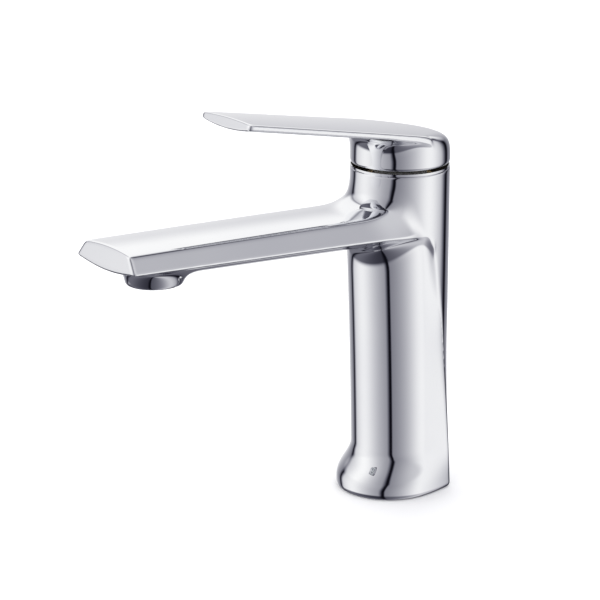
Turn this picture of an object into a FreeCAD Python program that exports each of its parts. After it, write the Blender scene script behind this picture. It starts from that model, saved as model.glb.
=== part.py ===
"""Single-lever basin mixer: a one-piece brass body with a long flat spout, a 35 mm ceramic
cartridge, and a paddle lever.

Millimetres, +Z up. The origin is on the deck plane, on the axis of the upper column.
The spout and the lever point along -Y. The faucet is modelled shut, with the lever over the spout.
"""
import FreeCAD, Part
import math
import os

os.makedirs("parts", exist_ok=True)

V = FreeCAD.Vector
UP = V(0, 0, 1)
ALONG_X = V(1, 0, 0)
ALONG_Y = V(0, 1, 0)

# ---- driving dimensions ----
BODY_R = 23.5                 # upper column, and the lever's skirt above it
BODY_TOP = 157.9              # seam between the body and the trim ring
RING_TOP = 158.9
SKIRT_BOTTOM = 159.9          # 1 mm shadow gap above the ring
SPOUT_TIP = -166.5
AERATOR_Y = -141.0
AERATOR_BOTTOM = 126.2
LEVER_TIP = -102.0

PIVOT_Z = 166.5               # lever pin
LIFT_DEG = 20.0
STEM_ARM = 15.0               # pin down to the ball that pushes the ceramic disc
DISC_OFFSET = STEM_ARM * math.sin(math.radians(LIFT_DEG)) / 2

BOWL_R = 24.2                 # dished seat that the skirt's rear edge dips into
BOWL_WALL = 0.8
FIT_GAP = 0.05

# Column stations from the foot up:
# height, front radius, front centre y, crease x, crease y, rear y.
FOOT_BAND = 4.5
FOOT_OUTLINE = (25.4, -4.85, 22.4, 15.6, 20.5)
FLARE_STATIONS = [
    (FOOT_BAND,) + FOOT_OUTLINE,
    (7.0, 25.2, -4.6, 22.35, 15.3, 20.6),
    (11.0, 24.0, -3.1, 22.2, 14.8, 20.7),
    (15.5, 22.5, -1.3, 22.1, 14.4, 20.9),
    (21.0, 21.9, -0.6, 22.1, 14.0, 21.1),
]
SHAFT_STATIONS = [
    FLARE_STATIONS[-1],
    (32.0, 21.8, -0.5, 22.0, 13.2, 21.4),
    (60.0, 21.8, -1.6, 21.8, 11.0, 22.6),
    (85.0, 21.8, -2.3, 21.95, 8.4, 23.45),
    (105.0, 21.8, -3.1, 22.85, 5.5, 23.5),
    (131.0, 21.8, -4.6, 23.35, 1.2, 23.45),
]

# Spout stations from the tip back into the column:
# y, half width of the top, half width at the widest edge, height of that edge,
# rise of the side facet, depth of the hull below the edge.
SPOUT_STATIONS = [
    (SPOUT_TIP, 16.9, 21.95, 139.65, 6.8, 3.0),
    (-150.0, 17.1, 22.05, 138.95, 7.0, 5.6),
    (-120.0, 17.3, 22.3, 137.2, 7.4, 7.6),
    (-80.0, 17.4, 22.6, 134.75, 7.8, 8.0),
    (-40.0, 17.5, 22.9, 132.1, 8.4, 8.0),
    (0.0, 17.5, 23.2, 129.6, 8.8, 8.0),
]
SPOUT_CROWN = 1.2

# Cartridge stack
CHAMBER_R = 17.7
CHAMBER_FLOOR = 110.0
CARTRIDGE_R = 17.45
CARTRIDGE_FOOT = 111.0
HOUSING_FOOT = 113.0
HOUSING_BORE = 15.6
HOUSING_CEILING = 145.5
SHOULDER = 147.5
NECK_R = 12.8
NECK_BORE = 11.2
NECK_TOP = 157.8
FIXED_DISC_Z = 129.0
MOVING_DISC_Z = 134.7
CARRIER_Z = 138.7
ROTOR_Z = 142.2
INLET_X = 7.5
INLET_Y = 5.0
WATERWAY_R = 3.2
MIXED_Y = -8.0

# Hose and stud holes in the underside
CAVITY_TOP = 70.0
CAVITY_R = 16.8
CAVITY_Y = -1.5
HOSE_THREAD_R = 5.0           # M10x1
HOSE_THREAD_DEPTH = 12.0
STUD_THREAD_R = 4.0           # M8
STUD_THREAD_DEPTH = 15.0
STUD_Y = -9.0

# Base gasket, in a groove of the foot
GASKET_Y = -2.5
GASKET_OUTER = 21.5
GASKET_INNER = 18.2
GASKET_DEPTH = 2.0

# Dished trim ring and the nut below it
FLOOR_Z = 151.0               # underside of the dished ring's floor, on the nut
FLOOR_TOP = 151.8
NUT_R = 19.0                  # M38x1.5
NUT_COLLAR_R = 16.2
NUT_COLLAR_TOP = 153.2
NUT_NOTCHES = 6

# Cartridge details
O_RING_Z = 137.0
O_RING_HEIGHT = 1.8
O_RING_INNER = 16.3
WINDOW_HALF = 6.0
WINDOW_Z = (116.0, 125.5)
BASE_TOP = 128.6
SEAL_GROOVE = 1.4
SEAL_OUTER = 4.6
MOVING_R = 11.8
BALL_R = 3.0
TOWER_R = 4.0
TOWER_TOP = PIVOT_Z - STEM_ARM + 2.0

# Turntable, lever pin and stem
CHEEK_IN = 4.3
CHEEK_OUT = 8.0
CHEEK_R = 3.0
PIN_R = 2.0
ROTOR_NECK_R = 10.9
ROTOR_TOP = 158.2
SLOT_FRONT = -2 * DISC_OFFSET
STEM_R = 3.9
STEM_TOP = 173.6
STEM_FLATS_Z = 160.0

# Handle
LEVER_TIP_X = 18.1
LEVER_TIP_TOP = 194.8
LEVER_TOP_AT_AXIS = 175.6
LEVER_REAR_TOP = 171.4
PADDLE_EDGE = 2.8             # thickness along the paddle's rim
PADDLE_BELLY = 1.7            # how far the underside bows below the rim
SKIRT_BORE = 20.3
SKIRT_CHAMFER = (0.75, 1.5)   # inward, upward
CEILING_Z = 170.0
SOCKET_HALF = 6.0
SCREW_Z = PIVOT_Z
SCREW_R = 2.5                 # M5
SCREW_BOSS_R = 3.2
SCREW_LENGTH = 12.0

# Aerator
AERATOR_R = 10.7              # M21.5x1, screwed up inside the spout
AERATOR_CORE_R = 9.2
AERATOR_ROOF = 137.0
AERATOR_SEAL = 1.8
AERATOR_FACE = AERATOR_BOTTOM + 0.6
HOLE_PITCH = 2.6
HOLE_R = 0.95


# ---- small helpers ----
def save(shape, node):
    shape.exportStep("parts/" + node + ".step")


def cylinder(radius, low, high, x=0.0, y=0.0):
    return Part.makeCylinder(radius, high - low, V(x, y, low), UP)


def tube(outer, inner, low, high, x=0.0, y=0.0):
    return cylinder(outer, low, high, x, y).cut(cylinder(inner, low - 1, high + 1, x, y))


def box(x0, x1, y0, y1, z0, z1):
    return Part.makeBox(x1 - x0, y1 - y0, z1 - z0, V(x0, y0, z0))


def sphere_at_pivot(radius):
    return Part.makeSphere(radius, V(0, 0, PIVOT_Z))


def side_prism(edges, half_width):
    """A solid across X from edges drawn in the YZ plane."""
    face = Part.Face(Part.Wire(edges))
    face.translate(V(-half_width, 0, 0))
    return face.extrude(V(2 * half_width, 0, 0))


def polyline(points):
    return [Part.LineSegment(a, b).toShape() for a, b in zip(points, points[1:])]


def bezier(points):
    curve = Part.BezierCurve()
    curve.setPoles(points)
    return curve.toShape()


# ---- body casting: outside ----
def column_section(z, front_r, front_y, crease_x, crease_y, rear_y):
    """Half-round front, sides that run back to a crease, and a shallower rear arc."""
    left, right = V(-front_r, front_y, z), V(front_r, front_y, z)
    crease_left, crease_right = V(-crease_x, crease_y, z), V(crease_x, crease_y, z)
    bend_y = (front_y + crease_y) / 2
    front = Part.Arc(left, V(0, front_y - front_r, z), right).toShape()
    right_side = bezier([right, V(front_r, bend_y, z), crease_right])
    rear = Part.Arc(crease_right, V(0, rear_y, z), crease_left).toShape()
    left_side = bezier([crease_left, V(-front_r, bend_y, z), left])
    return Part.Wire([front, right_side, rear, left_side])


def column():
    foot = Part.Face(column_section(0.0, *FOOT_OUTLINE)).extrude(V(0, 0, FOOT_BAND))
    flare = Part.makeLoft([column_section(*s) for s in FLARE_STATIONS], True, False)
    shaft = Part.makeLoft([column_section(*s) for s in SHAFT_STATIONS], True, False)
    return foot.multiFuse([flare, shaft])


def arch_cutter():
    """What lies under the spout's lower edge and in front of the crease."""
    tip_side, column_side = SPOUT_STATIONS[-2], SPOUT_STATIONS[-1]
    slope = (tip_side[3] - column_side[3]) / (column_side[0] - tip_side[0])
    edge = lambda y: column_side[3] + slope * (column_side[0] - y)
    start, spring = V(0, -40, edge(-40)), V(0, -13, edge(-13))
    landing, foot = V(0, 1.2, 118.6), V(0, 6.4, 100)
    outline = polyline([V(0, -40, 100), start, spring])
    outline.append(Part.Arc(spring, V(0, -3.4, 126.6), landing).toShape())
    outline += polyline([landing, foot, V(0, -40, 100)])
    return side_prism(outline, 40)


def spout_section(y, top_x, edge_x, edge_z, rise, hull):
    top_z = edge_z + rise
    top = Part.Arc(V(-top_x, y, top_z), V(0, y, top_z + SPOUT_CROWN), V(top_x, y, top_z)).toShape()
    right_facet = Part.LineSegment(V(top_x, y, top_z), V(edge_x, y, edge_z)).toShape()
    belly = Part.Arc(V(edge_x, y, edge_z), V(0, y, edge_z - hull), V(-edge_x, y, edge_z)).toShape()
    left_facet = Part.LineSegment(V(-edge_x, y, edge_z), V(-top_x, y, top_z)).toShape()
    return Part.Wire([top, right_facet, belly, left_facet])


def spout():
    return Part.makeLoft([spout_section(*s) for s in SPOUT_STATIONS], True, False)


def body_outside():
    upper = cylinder(BODY_R, 100.0, BODY_TOP).cut(arch_cutter())
    boss = Part.makeCone(12.6, 14.2, 12.0, V(0, AERATOR_Y, AERATOR_BOTTOM), UP)
    return column().multiFuse([upper, spout(), boss]).removeSplitter()


# ---- body casting: inside ----
def spout_waterway():
    """A flat channel, round at both edges, from the cartridge chamber to over the aerator."""
    half, radius = 6.5, 4.0
    start, end = V(0, -14, 130.4), V(0, AERATOR_Y, 139.6)
    run = end - start
    side_wall = [V(half, 0, radius), V(half + radius, 0, 0), V(half, 0, -radius)]
    mirror = [V(-p.x, 0, p.z) for p in reversed(side_wall)]
    edges = [
        Part.Arc(*side_wall).toShape(),
        Part.LineSegment(side_wall[2], mirror[0]).toShape(),
        Part.Arc(*mirror).toShape(),
        Part.LineSegment(mirror[2], side_wall[0]).toShape(),
    ]
    face = Part.Face(Part.Wire(edges))
    face.translate(start)
    return face.extrude(run)


def inlet_cuts():
    cuts = []
    for side in (-1, 1):
        x = side * INLET_X
        cuts.append(cylinder(HOSE_THREAD_R, CAVITY_TOP - 1, CAVITY_TOP + HOSE_THREAD_DEPTH, x, INLET_Y))
        cuts.append(cylinder(WATERWAY_R, CAVITY_TOP, CHAMBER_FLOOR + 1, x, INLET_Y))
    return cuts


def body_casting():
    cuts = [
        cylinder(CHAMBER_R, CHAMBER_FLOOR, BODY_TOP),
        cylinder(NUT_R + FIT_GAP, SHOULDER - 2.5, BODY_TOP),
        sphere_at_pivot(BOWL_R + BOWL_WALL + FIT_GAP).common(box(-30, 30, -30, 30, FLOOR_Z, 170)),
        spout_waterway(),
        cylinder(AERATOR_R + FIT_GAP, AERATOR_BOTTOM - 1, AERATOR_ROOF, 0, AERATOR_Y),
        cylinder(8.0, AERATOR_ROOF - 1, 140.0, 0, AERATOR_Y),
        cylinder(CAVITY_R, -1, CAVITY_TOP, 0, CAVITY_Y),
        tube(GASKET_OUTER, GASKET_INNER, -1, GASKET_DEPTH, 0, GASKET_Y),
        cylinder(STUD_THREAD_R, CAVITY_TOP - 1, CAVITY_TOP + STUD_THREAD_DEPTH, 0, STUD_Y),
    ]
    return body_outside().cut(cuts + inlet_cuts())


# ---- base ----
def base_gasket():
    return tube(GASKET_OUTER, GASKET_INNER, 0, GASKET_DEPTH, 0, GASKET_Y)


# ---- trim ring and cartridge nut ----
def trim_ring():
    """A dished ring: its floor rests on the nut, its wall is spherical, its rim shows as a band."""
    slab = cylinder(BODY_R, FLOOR_Z, RING_TOP)
    wall = slab.common(sphere_at_pivot(BOWL_R + BOWL_WALL))
    rim = cylinder(BODY_R, BODY_TOP, RING_TOP)
    hollow = sphere_at_pivot(BOWL_R).common(box(-30, 30, -30, 30, FLOOR_TOP, 170))
    hole = cylinder(NUT_COLLAR_R + 0.2, FLOOR_Z - 1, RING_TOP)
    return wall.fuse(rim).cut([hollow, hole]).removeSplitter()


def cartridge_nut():
    flange = cylinder(NUT_R, SHOULDER, FLOOR_Z)
    collar = cylinder(NUT_COLLAR_R, FLOOR_Z, NUT_COLLAR_TOP)
    bore = cylinder(NECK_R + 0.3, SHOULDER - 1, NUT_COLLAR_TOP + 1)
    notches = []
    for i in range(NUT_NOTCHES):
        notch = box(14.6, 18, -1.5, 1.5, FLOOR_Z + 0.2, NUT_COLLAR_TOP + 1)
        notch.rotate(V(0, 0, 0), UP, 360 * i / NUT_NOTCHES)
        notches.append(notch)
    return flange.fuse(collar).cut([bore] + notches)


# ---- cartridge ----
def port_centres():
    return [(-INLET_X, INLET_Y), (INLET_X, INLET_Y), (0.0, MIXED_Y)]


def cartridge_housing():
    cup = cylinder(CARTRIDGE_R, HOUSING_FOOT, SHOULDER).fuse(cylinder(NECK_R, SHOULDER, NECK_TOP))
    cuts = [
        cylinder(HOUSING_BORE, HOUSING_FOOT - 1, HOUSING_CEILING),
        cylinder(NECK_BORE, HOUSING_CEILING - 1, NECK_TOP + 1),
        tube(CARTRIDGE_R + 1, O_RING_INNER, O_RING_Z, O_RING_Z + O_RING_HEIGHT),
        box(-WINDOW_HALF, WINDOW_HALF, -20, -10, *WINDOW_Z),
    ]
    return cup.cut(cuts)


def housing_o_ring():
    return tube(CHAMBER_R, O_RING_INNER, O_RING_Z, O_RING_Z + O_RING_HEIGHT)


def seal_rings(low, high):
    return [tube(SEAL_OUTER, WATERWAY_R, low, high, x, y) for x, y in port_centres()]


def cartridge_base():
    """Carries the fixed disc, lets hot and cold in from below and mixed water out in front."""
    block = cylinder(HOUSING_BORE - FIT_GAP, CARTRIDGE_FOOT, BASE_TOP)
    block = block.fuse(cylinder(CARTRIDGE_R, CARTRIDGE_FOOT, HOUSING_FOOT))
    cuts = []
    for x, y in port_centres()[:2]:
        cuts.append(cylinder(WATERWAY_R, CARTRIDGE_FOOT - 1, BASE_TOP + 1, x, y))
        cuts.append(cylinder(SEAL_OUTER, CARTRIDGE_FOOT - 1, CARTRIDGE_FOOT + SEAL_GROOVE, x, y))
    for x, y in port_centres():
        cuts.append(cylinder(SEAL_OUTER, BASE_TOP - SEAL_GROOVE, BASE_TOP + 1, x, y))
    cuts.append(cylinder(WATERWAY_R, WINDOW_Z[0] + 1, BASE_TOP, 0, MIXED_Y))
    cuts.append(box(-WINDOW_HALF + 1, WINDOW_HALF - 1, -20, MIXED_Y, WINDOW_Z[0] + 1, WINDOW_Z[1] - 1))
    return block.cut(cuts)


def inlet_seals():
    rings = seal_rings(CHAMBER_FLOOR, CARTRIDGE_FOOT + SEAL_GROOVE)
    return Part.makeCompound(rings[:2])


def disc_seals():
    return Part.makeCompound(seal_rings(BASE_TOP - SEAL_GROOVE, FIXED_DISC_Z))


def fixed_disc():
    ports = [cylinder(WATERWAY_R, FIXED_DISC_Z - 1, MOVING_DISC_Z, x, y) for x, y in port_centres()]
    return cylinder(HOUSING_BORE - 0.2, FIXED_DISC_Z, MOVING_DISC_Z - 0.2).cut(ports)


def moving_disc():
    """Polished disc with a T-shaped pocket that links both inlets to the outlet when slid forward."""
    disc = cylinder(MOVING_R, MOVING_DISC_Z, CARRIER_Z, 0, DISC_OFFSET)
    stem_pocket = box(-3.6, 3.6, -6.5, 12.0, MOVING_DISC_Z - 1, MOVING_DISC_Z + 2.4)
    wing_pocket = box(-8.6, 8.6, 8.8, 11.5, MOVING_DISC_Z - 1, MOVING_DISC_Z + 2.4)
    wings = wing_pocket.common(cylinder(MOVING_R - 1.2, MOVING_DISC_Z - 2, CARRIER_Z, 0, DISC_OFFSET))
    return disc.cut([stem_pocket, wings])


def disc_carrier():
    plate = cylinder(MOVING_R, CARRIER_Z, ROTOR_Z - 0.2, 0, DISC_OFFSET)
    tower = cylinder(TOWER_R, CARRIER_Z, TOWER_TOP)
    socket = cylinder(BALL_R + 0.2, CARRIER_Z + 2.5, TOWER_TOP + 1)
    return plate.fuse(tower).cut(socket)


def slot(low, high):
    """Room for the carrier's tower and the stem to swing forward."""
    ends = [cylinder(CHEEK_IN, low, high), cylinder(CHEEK_IN, low, high, 0, SLOT_FRONT)]
    return box(-CHEEK_IN, CHEEK_IN, SLOT_FRONT, 0, low, high).multiFuse(ends)


def cartridge_rotor():
    """Turntable in the cartridge neck, with two cheeks that hold the lever pin."""
    flange = cylinder(HOUSING_BORE - 0.3, ROTOR_Z, HOUSING_CEILING - 0.3)
    neck = cylinder(ROTOR_NECK_R, ROTOR_Z, ROTOR_TOP)
    cheeks = []
    for low in (-CHEEK_OUT, CHEEK_IN):
        high = low + CHEEK_OUT - CHEEK_IN
        cheeks.append(box(low, high, -CHEEK_R, CHEEK_R, ROTOR_TOP - 1, PIVOT_Z))
        cheeks.append(Part.makeCylinder(CHEEK_R, high - low, V(low, 0, PIVOT_Z), ALONG_X))
    hole = Part.makeCylinder(PIN_R, 40, V(-20, 0, PIVOT_Z), ALONG_X)
    return flange.multiFuse([neck] + cheeks).cut([slot(ROTOR_Z - 1, ROTOR_TOP + 1), hole])


def lever_pin():
    return Part.makeCylinder(PIN_R, 2 * CHEEK_OUT, V(-CHEEK_OUT, 0, PIVOT_Z), ALONG_X)


def lever_stem():
    """Ball end in the carrier, round shank, pin hole, and a square top clamped in the handle."""
    ball_z = PIVOT_Z - STEM_ARM
    ball = Part.makeSphere(BALL_R, V(0, 0, ball_z))
    throat = cylinder(2.0, ball_z, ball_z + 4.0)
    shank = cylinder(STEM_R, ball_z + 3.1, STEM_FLATS_Z)
    square = box(-STEM_R, STEM_R, -STEM_R, STEM_R, STEM_FLATS_Z, STEM_TOP)
    hole = Part.makeCylinder(PIN_R + FIT_GAP, 20, V(-10, 0, PIVOT_Z), ALONG_X)
    return ball.multiFuse([throat, shank, square]).cut(hole)


# ---- handle ----
def paddle_top(y):
    """Height of the paddle's upper edge."""
    slope = (LEVER_TIP_TOP - LEVER_TOP_AT_AXIS) / -LEVER_TIP
    return LEVER_TOP_AT_AXIS - slope * y


def paddle_half_width(y):
    share = y / LEVER_TIP
    return BODY_R - 0.3 + (LEVER_TIP_X - BODY_R + 0.3) * share


def paddle_section(y):
    x, top = paddle_half_width(y), paddle_top(y)
    low = top - PADDLE_EDGE
    roof = Part.Arc(V(-x, y, top), V(0, y, top + 0.8), V(x, y, top)).toShape()
    right = Part.LineSegment(V(x, y, top), V(x, y, low)).toShape()
    belly = Part.Arc(V(x, y, low), V(0, y, low - PADDLE_BELLY), V(-x, y, low)).toShape()
    left = Part.LineSegment(V(-x, y, low), V(-x, y, top)).toShape()
    return Part.Wire([roof, right, belly, left])


def handle_top_cutter():
    """Everything above the cap, which falls towards the rear and is rounded there."""
    front, axis = V(0, -60, paddle_top(-60) + 0.8), V(0, 0, LEVER_TOP_AT_AXIS + 0.8)
    shoulder, rear = V(0, 15, LEVER_REAR_TOP + 1.8), V(0, BODY_R, LEVER_REAR_TOP - 4.0)
    outline = polyline([V(0, -60, 210), front, axis, shoulder])
    outline.append(Part.Arc(shoulder, V(0, 21.6, LEVER_REAR_TOP - 0.6), rear).toShape())
    outline += polyline([rear, V(0, 40, rear.z - 4), V(0, 40, 210), V(0, -60, 210)])
    return side_prism(outline, 40)


def skirt():
    inset, rise = SKIRT_CHAMFER
    foot = Part.makeCone(BODY_R - inset, BODY_R, rise, V(0, 0, SKIRT_BOTTOM), UP)
    wall = cylinder(BODY_R, SKIRT_BOTTOM + rise, 185.0)
    return foot.fuse(wall).cut(handle_top_cutter())


def handle():
    paddle = Part.makeLoft([paddle_section(y) for y in (LEVER_TIP, LEVER_TIP / 2, 0.0)], True, True)
    cuts = [
        cylinder(SKIRT_BORE, SKIRT_BOTTOM - 1, 166.0),
        cylinder(14.0, 165.0, CEILING_Z),
        box(-SOCKET_HALF, SOCKET_HALF, -SOCKET_HALF, SOCKET_HALF, CEILING_Z - 1, STEM_TOP),
    ]
    shell = skirt().fuse(paddle).cut(cuts)
    boss_length = SKIRT_BORE + 1 - STEM_R
    boss = Part.makeCylinder(SCREW_BOSS_R, boss_length, V(0, STEM_R, SCREW_Z), ALONG_Y)
    hole = Part.makeCylinder(SCREW_R, 40, V(0, 0, SCREW_Z), ALONG_Y)
    return shell.fuse(boss).cut(hole)


def handle_insert():
    block = box(-SOCKET_HALF, SOCKET_HALF, -SOCKET_HALF, SOCKET_HALF, CEILING_Z, STEM_TOP)
    return block.cut(box(-STEM_R, STEM_R, -STEM_R, STEM_R, CEILING_Z - 1, STEM_TOP + 1))


def set_screw():
    """Grub screw with a hexagon socket in its outer end."""
    screw = Part.makeCylinder(SCREW_R, SCREW_LENGTH, V(0, STEM_R, SCREW_Z), ALONG_Y)
    corners = [V(1.44 * math.cos(math.pi * i / 3), 0, 1.44 * math.sin(math.pi * i / 3)) for i in range(7)]
    key = Part.Face(Part.makePolygon(corners)).extrude(V(0, 4, 0))
    key.translate(V(0, STEM_R + SCREW_LENGTH - 3, SCREW_Z))
    return screw.cut(key)


def index_plug():
    """Plug that hides the grub screw, with a domed face flush with the skirt."""
    plug = Part.makeCylinder(SCREW_R, 6.0, V(0, BODY_R - 5.4, SCREW_Z), ALONG_Y)
    return plug.common(cylinder(BODY_R + 0.3, 150, 180))


# ---- aerator ----
def aerator_housing():
    top = AERATOR_ROOF - AERATOR_SEAL
    shell = tube(AERATOR_R, AERATOR_CORE_R, AERATOR_FACE, top, 0, AERATOR_Y)
    lip = tube(AERATOR_CORE_R + 0.5, AERATOR_CORE_R - 0.9, AERATOR_FACE, AERATOR_FACE + 1.0, 0, AERATOR_Y)
    return shell.fuse(lip)


def aerator_insert():
    """Flow straightener: a disc pierced by a hexagonal field of holes."""
    disc = cylinder(AERATOR_CORE_R, AERATOR_FACE + 1.0, AERATOR_FACE + 5.0, 0, AERATOR_Y)
    holes = []
    for row in range(-3, 4):
        for column_index in range(-3, 4):
            x = HOLE_PITCH * (column_index + row / 2)
            y = HOLE_PITCH * row * math.sqrt(3) / 2
            if math.hypot(x, y) < AERATOR_CORE_R - 1.2:
                holes.append(cylinder(HOLE_R, AERATOR_FACE, AERATOR_FACE + 6, x, AERATOR_Y + y))
    return disc.cut(holes)


def aerator_screen():
    low, high = AERATOR_FACE + 5.0, AERATOR_ROOF - AERATOR_SEAL
    return tube(AERATOR_CORE_R, 7.4, low, high, 0, AERATOR_Y).fuse(
        cylinder(7.6, high - 0.6, high, 0, AERATOR_Y))


def aerator_seal():
    return tube(AERATOR_R, 8.0, AERATOR_ROOF - AERATOR_SEAL, AERATOR_ROOF, 0, AERATOR_Y)


PIECES = [
    body_casting, base_gasket, trim_ring, cartridge_nut, cartridge_housing, housing_o_ring,
    cartridge_base, inlet_seals, disc_seals, fixed_disc, moving_disc, disc_carrier,
    cartridge_rotor, lever_pin, lever_stem, handle, handle_insert, set_screw, index_plug,
    aerator_housing, aerator_insert, aerator_screen, aerator_seal,
]
for piece in PIECES:
    save(piece(), piece.__name__)
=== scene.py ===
"""Looks for a chrome single-lever basin mixer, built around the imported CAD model.

Two cast pieces, the body and the handle, are skinned from distance fields: each is described by a
few radii and heights in millimetres and meshed on a fine grid, so its blends are continuous and its
reflections run clean. Every other piece keeps its CAD mesh and gets a material.
"""
import math
from collections import namedtuple

import bpy
import numpy as np
from mathutils import Matrix, Vector


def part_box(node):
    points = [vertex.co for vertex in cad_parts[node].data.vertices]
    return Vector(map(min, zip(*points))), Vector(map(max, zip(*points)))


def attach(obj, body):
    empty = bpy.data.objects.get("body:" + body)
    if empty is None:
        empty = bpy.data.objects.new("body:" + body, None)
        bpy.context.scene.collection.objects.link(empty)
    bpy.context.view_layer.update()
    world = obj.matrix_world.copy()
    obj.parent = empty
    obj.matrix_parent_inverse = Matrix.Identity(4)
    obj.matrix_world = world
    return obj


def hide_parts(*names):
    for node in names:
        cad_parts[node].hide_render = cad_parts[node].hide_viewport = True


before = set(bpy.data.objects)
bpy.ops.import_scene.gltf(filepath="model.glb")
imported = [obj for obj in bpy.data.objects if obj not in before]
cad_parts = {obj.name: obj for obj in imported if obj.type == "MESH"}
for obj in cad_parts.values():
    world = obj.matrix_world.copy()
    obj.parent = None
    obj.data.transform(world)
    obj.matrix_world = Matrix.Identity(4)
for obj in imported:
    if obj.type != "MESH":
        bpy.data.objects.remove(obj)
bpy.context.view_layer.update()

MM = 0.001

# ---- sizes shared with the CAD model, in millimetres ----
BODY_R = 23.5
BODY_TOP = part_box("body_casting")[1].z / MM
SKIRT_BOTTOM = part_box("handle")[0].z / MM
SPOUT_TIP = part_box("body_casting")[0].y / MM
LEVER_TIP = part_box("handle")[0].y / MM
AERATOR_Y = (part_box("aerator_housing")[0].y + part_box("aerator_housing")[1].y) / 2 / MM
AERATOR_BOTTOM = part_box("aerator_housing")[0].z / MM - 0.6
PIVOT_Z = (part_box("lever_pin")[0].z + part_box("lever_pin")[1].z) / 2 / MM

CHAMBER_R, CHAMBER_FLOOR = 17.7, 110.0
NUT_BORE_R, NUT_BORE_FLOOR = 19.05, 145.0
BOWL_R, BOWL_FLOOR = 25.05, 151.0          # dished seat of the trim ring, centred on the lever pin
CAVITY_R, CAVITY_TOP, CAVITY_Y = 16.8, 70.0, -1.5
INLET_R, INLET_TOP, INLET_X, INLET_Y = 5.0, 82.0, 7.5, 5.0
STUD_R, STUD_TOP, STUD_Y = 4.0, 85.0, -9.0
GROOVE_MEAN_R, GROOVE_HALF, GROOVE_DEPTH, GROOVE_Y = 19.85, 1.65, 2.0, -2.5
AERATOR_BORE_R, AERATOR_ROOF = 10.75, 137.0

SKIRT_BORE, SKIRT_ROOF = 20.3, 166.0
DOME_BORE, DOME_ROOF = 14.0, 170.0
SCREW_BOSS_R, SCREW_BORE_R = 3.2, 2.55
SOCKET_HALF, SOCKET_LOW, SOCKET_TOP = 6.0, 168.0, 173.6

# ---- sizes of the skins alone ----
RIM_BORE = 22.7               # leaves the body's rim a wall under the trim ring
EDGE = 1.8                    # rounding reach of an ordinary cast edge


# ---- field arithmetic: negative inside, millimetres ----
def smooth_min(a, b, reach):
    """Smaller of two fields, with their inner corner filled over a reach along each face.

    It is cubic, so its curvature is continuous and a reflection crosses it without a kink.
    """
    overlap = np.clip(1 - np.abs(a - b) / reach, 0, 1)
    return np.minimum(a, b) - reach * overlap ** 3 / 6


def smooth_max(a, b, reach):
    """Larger of two fields, with their outer edge rounded."""
    return -smooth_min(-a, -b, reach)


def smooth_step(t):
    """0 to 1 with no slope and no curvature at either end."""
    t = np.clip(t, 0, 1)
    return t * t * t * (t * (6 * t - 15) + 10)


def mix(a, b, share):
    return a + (b - a) * share


def drill(field, x, y, z, radius, low, high, at=(0.0, 0.0)):
    """Cuts an upright round hole from height low to high."""
    hole = np.maximum(np.hypot(x - at[0], y - at[1]) - radius, np.maximum(low - z, z - high))
    return smooth_max(field, -hole, 0.9)


# ---- the body casting ----
def column_fields(x, y, z):
    """The column's front and its rear: each open towards the other, meeting at the crease."""
    flare = 1 - smooth_step((z - 3.0) / 20.0)
    up = np.maximum(z - 20.0, 0)
    front_r = 21.8 + 3.6 * flare
    front_y = -0.4 - 0.017 * up - 0.00017 * up ** 2 - 4.45 * flare
    crease_y = 15.5 - 0.055 * z - 0.0004 * z ** 2
    on_circle = np.sqrt(np.maximum(BODY_R ** 2 - crease_y ** 2, 1.0))
    crease_x = smooth_max(on_circle, 22.4 - 0.011 * z, 1.0)

    t = np.maximum(y - front_y, 0) / (crease_y - front_y)
    side = front_r + (crease_x - front_r) * t ** 2
    front = np.where(y < front_y, np.hypot(x, y - front_y) - front_r, np.abs(x) - side)

    rear_y = BODY_R - 3.0 * np.clip(1 - z / 95.0, 0, 1) ** 1.5
    sagitta = rear_y - crease_y
    low_r = (crease_x ** 2 + sagitta ** 2) / (2 * sagitta)
    upper = smooth_step((z - 75.0) / 30.0)
    rear_r = mix(low_r, BODY_R, upper)
    centre_y = mix(rear_y - low_r, 0.0, upper)
    rear = np.where(y > centre_y, np.hypot(x, y - centre_y), np.abs(x)) - rear_r
    return front, rear, crease_y


def spout_fields(x, y, z):
    """The spout's upper shell (crown, side facets, tip), its hull, and its widest edge's height."""
    along = np.clip(y / SPOUT_TIP, 0, 1)
    edge_z = 129.7 + 11.1 * along - 1.2 * along ** 2
    rise = 8.9 - 2.1 * along
    edge_x = 23.2 - 1.25 * along
    tuck = 3.0 * smooth_step((y + 15.0) / 17.0)   # draws the sides in where the column takes over
    edge_x, top_x = edge_x - tuck, 17.6 - 0.5 * along - tuck
    depth = 8.0 - 5.0 * smooth_step((along - 0.7) / 0.32)

    crown = 1.2 * (1 - (x / top_x) ** 2)
    top = z - edge_z - rise - crown
    slant = np.hypot(rise, edge_x - top_x)
    facet = ((np.abs(x) - edge_x) * rise + (z - edge_z) * (edge_x - top_x)) / slant
    tip = SPOUT_TIP + 0.16 * np.maximum(z - edge_z, 0) - y
    hull_r = (edge_x ** 2 + depth ** 2) / (2 * depth)
    hull = np.hypot(x, z - (edge_z - depth + hull_r)) - hull_r

    shell = smooth_max(facet, tip, 2.6)
    shell = smooth_max(shell, top, 2.4)
    return shell, hull, edge_z


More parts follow.
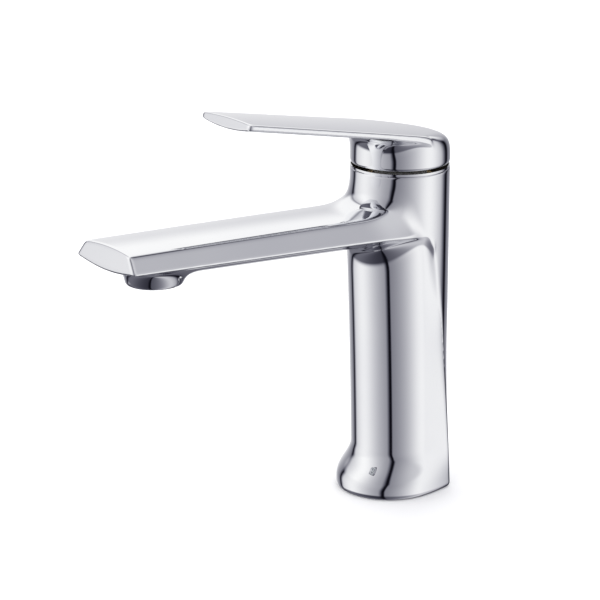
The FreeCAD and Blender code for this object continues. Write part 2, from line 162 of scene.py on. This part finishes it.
def body_outside(x, y, z):
    """Column and spout. Above the arch the outline is the plain round pillar and the spout's shell;
    below it the column's own front shows, and a cove joins that to the underside."""
    front, rear, crease_y = column_fields(x, y, z)
    shell, hull, edge_z = spout_fields(x, y, z)
    pillar = np.maximum(np.where(y < 0, np.hypot(x, y), np.abs(x)) - BODY_R, rear)
    shell = smooth_max(shell, y - 2.0, 4.0)       # the spout ends inside the column
    above = smooth_min(pillar, shell, 2.0 + 18.0 * smooth_step((4.0 - y) / 32.0))
    arch = smooth_min(edge_z - z, crease_y - y, 17.0)
    boss_r = 12.6 + 0.13 * (z - AERATOR_BOTTOM)
    boss = np.hypot(x, y - AERATOR_Y) - boss_r
    boss = smooth_max(boss, AERATOR_BOTTOM - z, 2.4)
    under = smooth_min(hull, boss, 11.0)
    front = smooth_max(front, rear, EDGE)
    reach = 1.2 + (5.0 + 8.0 * smooth_step(-y / 27.0)) * smooth_step((z - 75.0) / 38.0)
    cove = smooth_min(front, smooth_min(arch, under, 6.0), reach)
    skin = np.minimum(smooth_max(above, cove, 2.0), smooth_max(front, z - 128.0, 2.0))
    skin = smooth_max(skin, z - BODY_TOP, EDGE)
    return smooth_max(skin, -z, 3.5)


def body_field(x, y, z):
    """The casting with its chamber, bowl, cavity, threaded holes, gasket groove and aerator bore."""
    skin = body_outside(x, y, z)
    skin = drill(skin, x, y, z, CHAMBER_R, CHAMBER_FLOOR, 200.0)
    skin = drill(skin, x, y, z, NUT_BORE_R, NUT_BORE_FLOOR, 200.0)
    bowl = np.sqrt(x ** 2 + y ** 2 + (z - PIVOT_Z) ** 2) - BOWL_R
    seat = np.maximum(bowl, np.hypot(x, y) - RIM_BORE)
    skin = np.maximum(skin, -np.maximum(seat, BOWL_FLOOR - z))
    skin = drill(skin, x, y, z, CAVITY_R, -9.0, CAVITY_TOP, (0, CAVITY_Y))
    for inlet_x in (-INLET_X, INLET_X):
        skin = drill(skin, x, y, z, INLET_R, CAVITY_TOP - 10, INLET_TOP, (inlet_x, INLET_Y))
    skin = drill(skin, x, y, z, STUD_R, CAVITY_TOP - 10, STUD_TOP, (0, STUD_Y))
    groove = np.abs(np.hypot(x, y - GROOVE_Y) - GROOVE_MEAN_R) - GROOVE_HALF
    skin = np.maximum(skin, -np.maximum(groove, z - GROOVE_DEPTH))
    return drill(skin, x, y, z, AERATOR_BORE_R, 100.0, AERATOR_ROOF, (0, AERATOR_Y))


# ---- the handle ----
def handle_outside(x, y, z):
    """A round skirt and a tapering paddle, under one crowned top that climbs towards the tip."""
    along = np.clip(y / LEVER_TIP, -0.3, 1)
    half = 23.2 - 5.1 * along
    crown = 0.8 * (1 - (x / half) ** 2)
    top_z = 175.6 + 19.2 * along
    top = z - top_z - crown
    belly = top_z - 2.8 - 1.7 * (1 - (x / half) ** 2) - z
    tip = LEVER_TIP + 0.3 * np.maximum(z - 190.4, 0) - y
    plan = smooth_max(np.abs(x) - half, tip, 3.5)
    paddle = smooth_max(smooth_max(plan, belly, EDGE), y + 2.0, 2.0)
    skirt = smooth_max(np.hypot(x, y) - BODY_R, SKIRT_BOTTOM - z, 2.7)
    skin = smooth_min(paddle, skirt, 4.5 + 8.5 * smooth_step((-4.0 - y) / 20.0))
    edge = EDGE + 9.0 * smooth_step((y + 12.0) / 26.0)    # rounder towards the rear
    return smooth_max(skin, top, edge)


def handle_field(x, y, z):
    """The handle hollowed out, with the grub screw's boss and bore and the stem's square socket."""
    skin = handle_outside(x, y, z)
    skin = drill(skin, x, y, z, SKIRT_BORE, 100.0, SKIRT_ROOF)
    skin = drill(skin, x, y, z, DOME_BORE, 100.0, DOME_ROOF)
    off_axis = np.hypot(x, z - PIVOT_Z)
    boss = np.maximum(np.maximum(off_axis - SCREW_BOSS_R, 3.9 - y), y - 21.5)
    skin = np.minimum(skin, boss)
    skin = np.maximum(skin, -np.maximum(off_axis - SCREW_BORE_R, -y))
    socket = np.maximum(np.maximum(np.abs(x), np.abs(y)) - SOCKET_HALF, z - SOCKET_TOP)
    return np.maximum(skin, -np.maximum(socket, SOCKET_LOW - z))


# ---- meshing a field ----
CORNERS = [(i, j, k) for i in (0, 1) for j in (0, 1) for k in (0, 1)]
EDGES = [(a, b) for a in range(8) for b in range(a + 1, 8)
         if sum(abs(p - q) for p, q in zip(CORNERS[a], CORNERS[b])) == 1]


def gradient(field, points, step=0.02):
    """Unit outward normals of a field."""
    slopes = []
    for axis in range(3):
        shift = np.zeros(3, np.float32)
        shift[axis] = step
        ahead, behind = points + shift, points - shift
        slopes.append(field(*ahead.T) - field(*behind.T))
    slopes = np.stack(slopes, axis=1)
    return slopes / np.maximum(np.linalg.norm(slopes, axis=1, keepdims=True), 1e-12)


def sample(field, low, high, step, block=8):
    """Field values on a grid, exact only in the blocks that the surface may cross."""
    counts = [int(math.ceil((b - a) / step / block)) for a, b in zip(low, high)]
    axes = [(a + step * np.arange(n * block)).astype(np.float32) for a, n in zip(low, counts)]
    centres = [axis.reshape(-1, block).mean(axis=1) for axis in axes]
    values = field(*np.meshgrid(*centres, indexing="ij"))
    for axis in range(3):
        values = np.repeat(values, block, axis=axis)
    near = np.nonzero(np.abs(values) < 1.4 * step * block)
    values[near] = field(*(axis[i] for axis, i in zip(axes, near)))
    return axes, values


def skin_mesh(name, field, low, high, step):
    """Dual contouring: one vertex in each grid cell that the surface crosses, placed where the
    tangent planes at the cell's crossings meet, and one quad round each crossed grid edge."""
    axes, values = sample(field, low, high, step)
    inside = values < 0
    cells = tuple(n - 1 for n in values.shape)
    corner = [inside[i:i + cells[0], j:j + cells[1], k:k + cells[2]] for i, j, k in CORNERS]
    count = sum(c.astype(np.int8) for c in corner)
    active = np.argwhere((count > 0) & (count < 8))
    index = np.full(cells, -1, np.int64)
    index[tuple(active.T)] = np.arange(len(active))

    base = np.stack([axes[a][active[:, a]] for a in range(3)], axis=1)
    total = len(active)
    moment, target = np.zeros((total, 3, 3)), np.zeros((total, 3))
    centre, hits = np.zeros((total, 3)), np.zeros(total)
    for a, b in EDGES:
        at_a = values[tuple((active + CORNERS[a]).T)]
        at_b = values[tuple((active + CORNERS[b]).T)]
        rows = np.nonzero((at_a < 0) != (at_b < 0))[0]
        share = (at_a[rows] / (at_a[rows] - at_b[rows]))[:, None]
        start = base[rows] + np.array(CORNERS[a]) * step
        point = start + share * (np.array(CORNERS[b]) - np.array(CORNERS[a])) * step
        normal = gradient(field, point)
        moment[rows] += normal[:, :, None] * normal[:, None, :]
        target[rows] += normal * np.sum(normal * point, axis=1, keepdims=True)
        centre[rows] += point
        hits[rows] += 1
    centre /= hits[:, None]
    weights, vectors = np.linalg.eigh(moment)
    inverse = np.where(weights > 0.08 * weights[:, -1:], 1 / np.maximum(weights, 1e-9), 0)
    residual = target - np.einsum("nij,nj->ni", moment, centre)
    move = np.einsum("nij,nj,nkj,nk->ni", vectors, inverse, vectors, residual)
    spots = np.clip(centre + move, base, base + step)
    for _ in range(2):
        spots -= np.clip(field(*spots.T), -step / 3, step / 3)[:, None] * gradient(field, spots)

    quads = []
    for axis in range(3):
        u, v = (axis + 1) % 3, (axis + 2) % 3
        a = inside[tuple(slice(0, -1) if d == axis else slice(1, -1) for d in range(3))]
        b = inside[tuple(slice(1, None) if d == axis else slice(1, -1) for d in range(3))]
        crossed = np.argwhere(a != b)
        lower = crossed.copy()
        ring = []
        for du, dv in ((0, 0), (1, 0), (1, 1), (0, 1)):
            cell = lower.copy()
            cell[:, u] += du
            cell[:, v] += dv
            ring.append(index[tuple(cell.T)])
        quad = np.stack(ring, axis=1)
        outward = a[tuple(crossed.T)]
        quad[~outward] = quad[~outward][:, ::-1]
        quads.append(quad)
    quads = np.concatenate(quads)

    mesh = bpy.data.meshes.new(name)
    mesh.from_pydata((spots * MM).tolist(), [], quads.tolist())
    mesh.shade_smooth()
    mesh.normals_split_custom_set_from_vertices(gradient(field, spots).tolist())
    piece = bpy.data.objects.new(name, mesh)
    bpy.context.scene.collection.objects.link(piece)
    return piece


GRID = 0.5
body_skin = skin_mesh("body_skin", body_field, (-28, -170, -2), (28, 26, 160), GRID)
handle_skin = skin_mesh("handle_skin", handle_field, (-26, -105, 158), (26, 26, 199), GRID)


# ---- materials ----
def grey(value):
    return (value, value, value, 1.0)


def new_material(name):
    material = bpy.data.materials.new(name)
    material.use_nodes = True
    tree = material.node_tree
    return material, tree, tree.nodes["Principled BSDF"]


def calculate(tree, operation, *values):
    """One Math node on numbers or sockets."""
    node = tree.nodes.new("ShaderNodeMath")
    node.operation = operation
    for socket, value in zip(node.inputs, values):
        if isinstance(value, (int, float)):
            socket.default_value = value
        else:
            tree.links.new(value, socket)
    return node.outputs[0]


def noise(tree, scale, detail=2.0, stretch=(1, 1, 1)):
    """Noise fixed to the piece, in cells per metre."""
    place = tree.nodes.new("ShaderNodeTexCoord")
    squeeze = tree.nodes.new("ShaderNodeMapping")
    squeeze.inputs["Scale"].default_value = stretch
    texture = tree.nodes.new("ShaderNodeTexNoise")
    texture.inputs["Scale"].default_value = scale
    texture.inputs["Detail"].default_value = detail
    tree.links.new(place.outputs["Object"], squeeze.inputs["Vector"])
    tree.links.new(squeeze.outputs["Vector"], texture.inputs["Vector"])
    return texture.outputs["Fac"]


def ramp(tree, source, low, high):
    """Runs from one colour to another over the middle of the noise."""
    steps = tree.nodes.new("ShaderNodeValToRGB")
    first, last = steps.color_ramp.elements
    first.position, last.position = 0.3, 0.7
    first.color, last.color = low, high
    tree.links.new(source, steps.inputs["Fac"])
    return steps.outputs["Color"]


def finish(name, low, high, metallic, rough, cells, grain, bump=0.0, stretch=(1, 1, 1)):
    """A finish whose colour drifts from low to high, and whose grain shows in gloss and relief."""
    material, tree, shader = new_material(name)
    shader.inputs["Metallic"].default_value = metallic
    drift = noise(tree, cells, 3.0)
    tree.links.new(ramp(tree, drift, (*low, 1), (*high, 1)), shader.inputs["Base Color"])
    fine = noise(tree, grain, 4.0, stretch)
    tree.links.new(ramp(tree, fine, grey(rough[0]), grey(rough[1])), shader.inputs["Roughness"])
    if bump:
        relief = tree.nodes.new("ShaderNodeBump")
        relief.inputs["Strength"].default_value = bump
        relief.inputs["Distance"].default_value = 0.0002
        tree.links.new(fine, relief.inputs["Height"])
        tree.links.new(relief.outputs["Normal"], shader.inputs["Normal"])
    return material


AROUND = (1, 1, 12)           # lathe marks: short along Z, long round the piece
FINISHES = {
    "chrome": finish("chrome_plate", (0.90, 0.905, 0.925), (0.94, 0.945, 0.955), 1.0,
                     (0.03, 0.055), 20, 90),
    "brass": finish("turned_brass", (0.70, 0.50, 0.24), (0.80, 0.61, 0.32), 1.0,
                    (0.22, 0.36), 80, 500, 0.15, AROUND),
    "steel": finish("stainless_steel", (0.55, 0.55, 0.57), (0.66, 0.66, 0.67), 1.0,
                    (0.24, 0.40), 90, 600, 0.15, AROUND),
    "rubber": finish("black_rubber", (0.018, 0.018, 0.019), (0.034, 0.034, 0.035), 0.0,
                     (0.58, 0.78), 120, 1500, 0.25),
    "cartridge_plastic": finish("cartridge_plastic", (0.70, 0.71, 0.69), (0.78, 0.79, 0.77), 0.0,
                                (0.34, 0.50), 60, 1300, 0.12),
    "aerator_plastic": finish("aerator_plastic", (0.40, 0.42, 0.44), (0.50, 0.52, 0.54), 0.0,
                              (0.32, 0.48), 60, 1300, 0.12),
    "ceramic": finish("lapped_alumina", (0.86, 0.84, 0.79), (0.92, 0.90, 0.86), 0.0,
                      (0.10, 0.20), 70, 900),
}


# Radius, low and high of each hidden zone, in millimetres: the cavity, under the ring, the skirt. Inside
# them a painted shade stands in for the shadow that falls in these gaps and hollows.
PAINTED_SHADE_ZONES = ((18.5, -1.0, 71.0), (23.0, 149.0, 159.3), (20.8, 159.3, 170.3))
# painted shade: a dark brown that stands in for the shadow in the hidden gaps and hollows
PAINTED_SHADE_COLOUR = (0.13, 0.11, 0.09, 1)
SHADE_ZONE_ROUGHNESS = 0.6


def paint_shade_inside(material):
    """Paints shade on the faces inside the zones: a dark brown painted shade replaces the chrome's
    colour, and the roughness is raised.
    """
    tree = material.node_tree
    place = tree.nodes.new("ShaderNodeTexCoord")
    split = tree.nodes.new("ShaderNodeSeparateXYZ")
    tree.links.new(place.outputs["Object"], split.inputs["Vector"])
    x, y, z = split.outputs
    squares = calculate(tree, "MULTIPLY_ADD", x, x, calculate(tree, "MULTIPLY", y, y))
    radius = calculate(tree, "SQRT", squares)
    painted_shade = 0.0
    for inner_r, low, high in PAINTED_SHADE_ZONES:
        zone = calculate(tree, "LESS_THAN", radius, inner_r * MM)
        zone = calculate(tree, "MULTIPLY", zone, calculate(tree, "GREATER_THAN", z, low * MM))
        zone = calculate(tree, "MULTIPLY", zone, calculate(tree, "LESS_THAN", z, high * MM))
        painted_shade = calculate(tree, "MAXIMUM", painted_shade, zone)
    shader = tree.nodes["Principled BSDF"]
    for name, value in (("Base Color", PAINTED_SHADE_COLOUR), ("Roughness", grey(SHADE_ZONE_ROUGHNESS))):
        cover = tree.nodes.new("ShaderNodeMix")
        cover.data_type = "RGBA"
        tree.links.new(painted_shade, cover.inputs["Factor"])
        tree.links.new(shader.inputs[name].links[0].from_socket, cover.inputs["A"])
        cover.inputs["B"].default_value = value
        tree.links.new(cover.outputs["Result"], shader.inputs[name])


# paints shade into the chrome's hidden gaps and hollows
paint_shade_inside(FINISHES["chrome"])

for piece, body, node in ((body_skin, "body", "body_casting"), (handle_skin, "lever", "handle")):
    piece.data.materials.append(FINISHES["chrome"])
    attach(piece, body)
    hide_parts(node)
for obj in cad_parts.values():
    obj.data.materials[0] = FINISHES[obj.data.materials[0].name]


# ---- floor, light and camera ----
def new_mesh_object(name, corners, faces):
    mesh = bpy.data.meshes.new(name)
    mesh.from_pydata(corners, [], faces)
    made = bpy.data.objects.new(name, mesh)
    bpy.context.scene.collection.objects.link(made)
    return made


def lay_floor(half=8.0):
    """White sweep. The chrome sees the studio's dim floor cards in its place."""
    corners = [(-half, -half, 0), (half, -half, 0), (half, half, 0), (-half, half, 0)]
    floor = new_mesh_object("floor", corners, [(0, 1, 2, 3)])
    floor.visible_glossy = False
    material, tree, shader = new_material("white_sweep")
    tone = ramp(tree, noise(tree, 3.0), grey(0.92), grey(0.94))
    tree.links.new(tone, shader.inputs["Base Color"])
    shader.inputs["Roughness"].default_value = 0.9
    floor.data.materials.append(material)


# The tent's rings. Each panel is a diffuser with one lamp behind it. Azimuths are in degrees: 0 is the
# spout's side and 90 the camera's right. A panel's light falls by half at its spread from the lamp, and
# to nothing over its margins, so the rings have a dark gap where two panels meet.
Panel = namedtuple("Panel", "start margin lamp peak spread end_margin end")
CARDS_BELOW = [Panel(39, 6, 134, 0.58, 36, 24, 180), Panel(183, 24, 262, 0.17, 60, 10, 282),
               Panel(282, 14, 300, 0.14, 45, 10, 396)]
WALLS = [Panel(39, 4, 122, 0.93, 45, 24, 180), Panel(183, 10, 236, 0.84, 24, 10, 282),
         Panel(282, 12, 322, 0.92, 48, 10, 396)]
CEILING = [Panel(40, 6, 106, 0.62, 50, 24, 172), Panel(164, 42, 236, 1.0, 150, 22, 286),
           Panel(276, 10, 320, 1.0, 45, 12, 397)]
GAP_LEAN = 7.0                # how far the gaps turn, in degrees, on their way up the walls
GAP_LIGHT = 0.004             # what still comes through a gap


def ease(tree, value, start, end):
    """Rises smoothly from 0 to 1 between two values."""
    share = tree.nodes.new("ShaderNodeMapRange")
    share.interpolation_type = "SMOOTHSTEP"
    share.inputs["From Min"].default_value = start
    share.inputs["From Max"].default_value = end
    tree.links.new(value, share.inputs["Value"])
    return share.outputs["Result"]


def blend(tree, low, high, share):
    """Goes from low to high as the share goes from 0 to 1."""
    return calculate(tree, "MULTIPLY_ADD", calculate(tree, "SUBTRACT", high, low), share, low)


def panel_light(tree, azimuth, panel):
    """A panel's brightness at an azimuth, and nothing beyond its ends."""
    along = calculate(tree, "SUBTRACT", azimuth, panel.start)
    along = calculate(tree, "FLOORED_MODULO", along, 360.0)
    left = calculate(tree, "SUBTRACT", panel.end - panel.start, along)
    off_lamp = calculate(tree, "SUBTRACT", along, panel.lamp - panel.start)
    off_lamp = calculate(tree, "DIVIDE", off_lamp, panel.spread)
    fall = calculate(tree, "MULTIPLY_ADD", off_lamp, off_lamp, 1.0)
    lit = calculate(tree, "DIVIDE", panel.peak, fall)
    lit = calculate(tree, "MULTIPLY", lit, ease(tree, along, 0, panel.margin))
    return calculate(tree, "MULTIPLY", lit, ease(tree, left, 0, panel.end_margin))


def ring_light(tree, azimuth, panels):
    total = GAP_LIGHT
    for panel in panels:
        total = calculate(tree, "ADD", total, panel_light(tree, azimuth, panel))
    return total


def raise_tent():
    """A light tent of three rings of panels, with plain white where the camera looks past it."""
    world = bpy.data.worlds.new("studio")
    bpy.context.scene.world = world
    world.use_nodes = True
    tree = world.node_tree
    place = tree.nodes.new("ShaderNodeTexCoord")
    split = tree.nodes.new("ShaderNodeSeparateXYZ")
    tree.links.new(place.outputs["Generated"], split.inputs["Vector"])
    x, y, z = split.outputs
    elevation = calculate(tree, "DEGREES", calculate(tree, "ARCSINE", z))
    turn = calculate(tree, "DEGREES", calculate(tree, "ARCTAN2", x, calculate(tree, "MULTIPLY", y, -1.0)))
    azimuth = calculate(tree, "MULTIPLY_ADD", ease(tree, elevation, -22, 22), -GAP_LEAN, turn)
    below, walls, ceiling = (ring_light(tree, azimuth, ring) for ring in (CARDS_BELOW, WALLS, CEILING))
    tent = blend(tree, below, walls, ease(tree, elevation, -32, -24))
    tent = blend(tree, tent, ceiling, ease(tree, elevation, 7, 20))
    tone = tree.nodes.new("ShaderNodeCombineColor")
    for channel, power in (("Red", 1.0), ("Green", 1.0), ("Blue", 0.9)):     # dim light is cooler
        tree.links.new(calculate(tree, "POWER", tent, power), tone.inputs[channel])
    background = tree.nodes["Background"]
    tree.links.new(tone.outputs["Color"], background.inputs["Color"])
    plain = tree.nodes.new("ShaderNodeBackground")
    plain.inputs["Color"].default_value = (1, 1, 1, 1)
    ray = tree.nodes.new("ShaderNodeLightPath")
    choose = tree.nodes.new("ShaderNodeMixShader")
    tree.links.new(ray.outputs["Is Camera Ray"], choose.inputs["Fac"])
    tree.links.new(background.outputs[0], choose.inputs[1])
    tree.links.new(plain.outputs[0], choose.inputs[2])
    tree.links.new(choose.outputs[0], tree.nodes["World Output"].inputs["Surface"])


def hang_fill_light():
    """Broad light from overhead that whitens the floor and stays out of the chrome."""
    lamp = bpy.data.lights.new("overhead", "SUN")
    lamp.energy = 2.6
    lamp.angle = math.radians(150)
    overhead = bpy.data.objects.new("overhead", lamp)
    bpy.context.scene.collection.objects.link(overhead)
    overhead.visible_glossy = False


def aim_camera():
    """Looks at a point on the column's axis from the front right, a little above."""
    azimuth, elevation = math.radians(51.94), math.radians(17.10)
    back = Vector((math.sin(azimuth) * math.cos(elevation),
                   -math.cos(azimuth) * math.cos(elevation), math.sin(elevation)))
    right = Vector((math.cos(azimuth), math.sin(azimuth), 0))
    up = back.cross(right)
    camera_data = bpy.data.cameras.new("camera")
    camera_data.sensor_width = 36.0
    camera_data.lens = 150.56
    camera = bpy.data.objects.new("camera", camera_data)
    bpy.context.scene.collection.objects.link(camera)
    place = back * 1.2 - right * 0.0468 + up * 0.01587 + Vector((0, 0, 0.075))
    turn = Matrix((right, up, back)).transposed()
    camera.matrix_world = Matrix.Translation(place) @ turn.to_4x4()
    bpy.context.scene.camera = camera


lay_floor()
raise_tent()
hang_fill_light()
aim_camera()
bpy.context.scene.view_settings.view_transform = "Standard"
bpy.context.view_layer.update()
